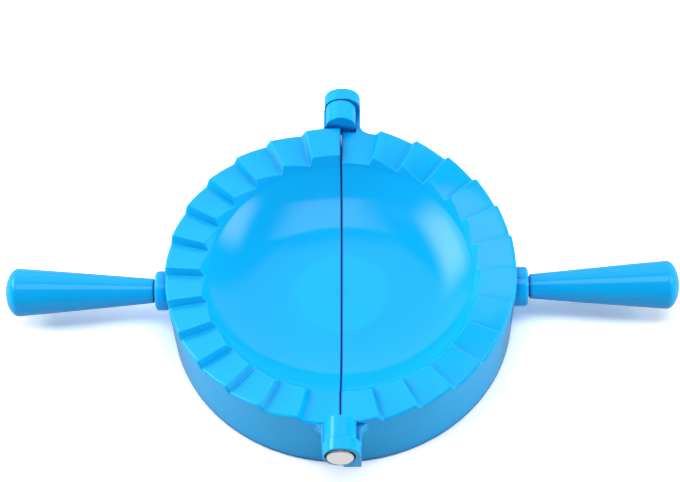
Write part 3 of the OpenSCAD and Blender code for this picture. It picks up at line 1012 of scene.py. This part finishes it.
class PRESS_OT_handles(bpy.types.Operator):
    """Build the two turned handles"""

    bl_idname = "press.handles"
    bl_label = "Handles"

    def execute(self, context):
        h = context.scene.press_handle
        material = grip_material()
        face, tip = RIGHT_HIGH.x, GRIP_HIGH.x
        end_r, root_r = (GRIP_HIGH.z - GRIP_LOW.z) / 2, h.root_d / 2
        spigot_r, neck_r = h.spigot_d / 2, h.neck_d / 2
        start, full = face + h.neck_len, tip - h.dome
        deep, soft = face - h.spigot_len, h.root_round
        outline = path((0, deep), (spigot_r - soft, deep), (spigot_r, deep + soft), (spigot_r, face))
        outline += path((neck_r, face), (neck_r, start))
        outline += rounded(complex(root_r, start), 0, math.pi / 2, soft, 4)
        for i in range(1, GRIP_STEPS + 1):
            t = (soft + (full - start - soft) * i / GRIP_STEPS) / (full - start)
            swollen = root_r + (end_r - root_r) * (1 - (1 - t) ** h.swell)
            outline.append(complex(swollen, start + (full - start) * t))
        outline += [complex(end_r * way.real, full + h.dome * way.imag) for way in quarter(DOME_STEPS)[1:]]
        for name, body, turn in (("right_handle", "right_side", 1), ("left_handle", "left_side", -1)):
            piece = turned(name + "_grip", outline, lying(HANDLE_Z, turn, "Y"))
            finish_piece(piece, body, name, material)
        return {"FINISHED"}


class PRESS_OT_pins(bpy.types.Operator):
    """Build the two headed hinge pins"""

    bl_idname = "press.pins"
    bl_label = "Hinge Pins"

    def execute(self, context):
        g = context.scene.press_hinge
        material = steel_material("Turned steel")
        pin_r, head_r = g.pin_d / 2, PIN_HIGH.x
        tip, top = PIN_LOW.y, PIN_HIGH.y
        point, under = pin_r / PIN_PART, top - g.head_t
        outline = path((0, tip), (pin_r - point, tip), (pin_r, tip + point), (pin_r, under))
        outline += path((head_r - HEAD_CHAMFER, under), (head_r, under + HEAD_CHAMFER))
        outline += rounded(complex(head_r, top), math.pi / 2, math.pi, g.head_round, 5) + path((0, top))
        for name, turn in (("rear_hinge_pin", -1), ("front_hinge_pin", 1)):
            piece = turned(name + "_steel", outline, lying(HINGE_Z, turn, "X"))
            finish_piece(piece, "left_side", name, material)
        return {"FINISHED"}


def sky(azimuth, elevation):
    """The direction of a point of the room. Azimuth 0 is behind the press, 90 to its right."""
    a, e = math.radians(azimuth), math.radians(elevation)
    return Vector((math.sin(a) * math.cos(e), math.cos(a) * math.cos(e), math.sin(e)))


def lamp(name, brightness, place, back, size, gloss=True, matt=True, fade=None, turn=0):
    """A rectangular lamp, whose back points away from the press. Brightness 1 is that of a white wall.

    Gloss and matt tell whether it shows on glossy and on matt surfaces.
    """
    light = bpy.data.lights.new(name, "AREA")
    light.shape = "RECTANGLE"
    light.size, light.size_y = size
    light.energy = math.pi * light.size * light.size_y * brightness
    if fade:
        soften(light, fade)
    piece = added(name, light)
    piece.location = place
    piece.rotation_mode = "QUATERNION"
    spin = Matrix.Rotation(math.radians(turn), 3, "Z").to_quaternion()
    piece.rotation_quaternion = Vector(back).to_track_quat("Z", "Y") @ spin
    piece.visible_camera = False
    piece.visible_glossy = gloss
    piece.visible_diffuse = matt


def soften(light, fade):
    """Lets a lamp fade out over the given shares of its width and height, as the cloth of a softbox does."""
    wires = wired(light)
    spot = wires.add("SeparateXYZ", {0: wires.add("NewGeometry", {}).outputs["Parametric"]}).outputs
    rises = []
    for axis, share in zip("XY", fade):
        nearest = wires.math("MINIMUM", spot[axis], wires.math("SUBTRACT", 1.0, spot[axis]))
        rises.append(wires.stretch(nearest, 0.0, share))
    wires.add("OutputLight", {"Surface": wires.add("Emission", {"Strength": wires.times(*rises)})})


FLOOR_REACH = 6.0
# Width of the camera's sensor in millimetres, and how near and far it sees in metres
SENSOR, VIEW_REACH = 36, (0.01, 100)
# Where the wall behind the press ends: a turn from straight behind, and heights as a sine
WALL_SIDE = (math.radians(58), math.radians(44))
WALL_TOP = (0.96, 0.90)
WALL_FOOT = (0.0, 0.2)
# Brightness of the dark part of the room
ROOM_DIM = 0.03
# Distance of the softboxes, and where they hang
SOFTBOX_FAR, LEFT_WAY, RIGHT_WAY = 0.8, sky(-74, 37), sky(92, 34)
# Each lamp, the setting of its brightness, and how it stands, in metres. Fades are shares of its sides.
LAMPS = (
    ("Left lamp", "left_light", dict(
        place=LEFT_WAY * SOFTBOX_FAR, back=LEFT_WAY, size=(0.90, 0.50), fade=(0.4, 0.4), turn=30,
    )),
    ("Right lamp", "right_light", dict(
        place=RIGHT_WAY * SOFTBOX_FAR, back=RIGHT_WAY, size=(0.60, 0.46), fade=(0.4, 0.4),
    )),
    ("Panel", "panel_light", dict(
        place=(0.105, -0.065, 1.0), back=(0, 0, 1), size=(1.05, 0.55), fade=(0.4, 0.12),
    )),
    ("Key lamp", "key_light", dict(place=(0, -0.134, 1.0), back=(0, 0, 1), size=(1.2, 0.268), gloss=False)),
    ("Left wall", "left_wall", dict(place=(-1.2, 0, 0.12), back=(-1, 0, 0), size=(1.2, 0.22), gloss=False)),
    ("Right wall", "right_wall", dict(place=(1.2, 0, 0.12), back=(1, 0, 0), size=(1.2, 0.22), gloss=False)),
    ("Pin card", "card_light", dict(place=(0, -0.1, 0.001), back=(0, 0, -1), size=(0.05, 0.044), matt=False)),
)


def room_world(rear_light):
    """A room that is dark on the camera's side and pale behind the press. The camera itself sees it white."""
    world = bpy.data.worlds.new("Room")
    wires = wired(world)
    way = wires.add("SeparateXYZ", {0: wires.add("TexCoord", {}).outputs["Generated"]}).outputs
    turn = wires.math("ARCTAN2", wires.math("ABSOLUTE", way["X"]), way["Y"])
    side = wires.stretch(turn, *WALL_SIDE)
    top = wires.stretch(way["Z"], *WALL_TOP)
    foot = wires.stretch(way["Z"], *WALL_FOOT)
    level = wires.math("MULTIPLY_ADD", wires.times(side, top, foot), rear_light - ROOM_DIM, ROOM_DIM)
    seen = wires.add("LightPath", {}).outputs["Is Camera Ray"]
    room = wires.add("Background", {"Color": (1, 1, 1, 1), "Strength": wires.most(seen, level)})
    wires.add("OutputWorld", {"Surface": room})
    return world


def floor_material(s):
    """A pale matt floor, white to the camera, that keeps the shadow of the press."""
    material = bpy.data.materials.new("Pale floor")
    wires = wired(material)
    rays = wires.add("LightPath", {}).outputs
    seen = rays["Is Camera Ray"]
    gloss = wires.most(rays["Is Glossy Ray"], rays["Is Transmission Ray"])
    shade = wires.add("Mix", {"Factor": gloss, "A": s.floor_shade, "B": s.floor_gloss})
    shade = wires.add("Mix", {"Factor": seen, "A": shade, "B": s.floor_seen})
    matt = wires.add("BsdfDiffuse", {"Color": shade})
    glow = wires.add("Emission", {"Strength": wires.times(wires.most(seen, gloss), s.floor_glow)})
    wires.add("OutputMaterial", {"Surface": wires.add("AddShader", {0: matt, 1: glow})})
    return material


class PRESS_OT_stage(bpy.types.Operator):
    """Set up the camera, the floor and the soft lamps"""

    bl_idname = "press.stage"
    bl_label = "Stage"

    def execute(self, context):
        scene = context.scene
        s = scene.press_studio
        e, a = s.elevation, s.azimuth
        back = Vector((math.sin(a) * math.cos(e), -math.cos(a) * math.cos(e), math.sin(e)))
        right = Vector((math.cos(a), math.sin(a), 0))
        up = back.cross(right)
        turn = Matrix((right, up, back)).transposed() @ Matrix.Rotation(s.roll, 3, "Z")
        view = bpy.data.cameras.new("Camera")
        view.sensor_width, view.lens = SENSOR, s.lens
        view.clip_start, view.clip_end = VIEW_REACH
        scene.camera = added("Camera", view)
        place = Vector((s.aim_x, s.aim_y, 0)) + back * s.distance
        scene.camera.matrix_world = Matrix.Translation(place) @ turn.to_4x4()
        scene.view_settings.view_transform = "Standard"
        for name, brightness, stand in LAMPS:
            lamp(name, getattr(s, brightness), **stand)
        scene.world = room_world(s.rear_light)

        mesh = bpy.data.meshes.new("Floor")
        far = FLOOR_REACH
        mesh.from_pydata([(-far, -far, 0), (far, -far, 0), (far, far, 0), (-far, far, 0)], [], [(0, 1, 2, 3)])
        mesh.materials.append(floor_material(s))
        floor = added("Floor", mesh)
        return {"FINISHED"}


class PRESS_PT_panel(bpy.types.Panel):
    """Lists the pieces of the press and their sizes"""

    bl_idname = "PRESS_PT_panel"
    bl_label = "Folding Press"
    bl_space_type = "VIEW_3D"
    bl_region_type = "UI"
    bl_category = "Press"

    def draw(self, context):
        for operator in OPERATORS:
            self.layout.operator(operator.bl_idname)
        for group, kind in GROUPS.items():
            box = self.layout.box()
            for name in kind.__annotations__:
                box.prop(getattr(context.scene, group), name)


GROUPS = {
    "press_disc": PressDisc,
    "press_hinge": PressHinge,
    "press_handle": PressHandle,
    "press_finish": PressFinish,
    "press_studio": PressStudio,
}
OPERATORS = (PRESS_OT_left_half, PRESS_OT_right_half, PRESS_OT_handles, PRESS_OT_pins, PRESS_OT_stage)
CLASSES = (*GROUPS.values(), *OPERATORS, PRESS_PT_panel)


def register():
    for kind in CLASSES:
        bpy.utils.register_class(kind)
    for name, kind in GROUPS.items():
        setattr(bpy.types.Scene, name, bpy.props.PointerProperty(type=kind))


def unregister():
    for name in GROUPS:
        delattr(bpy.types.Scene, name)
    for kind in reversed(CLASSES):
        bpy.utils.unregister_class(kind)


def main():
    """Builds every piece and the stage."""
    register()
    bpy.ops.press.left_half()
    bpy.ops.press.right_half()
    bpy.ops.press.handles()
    bpy.ops.press.pins()
    bpy.ops.press.stage()


if __name__ == "__main__":
    main()
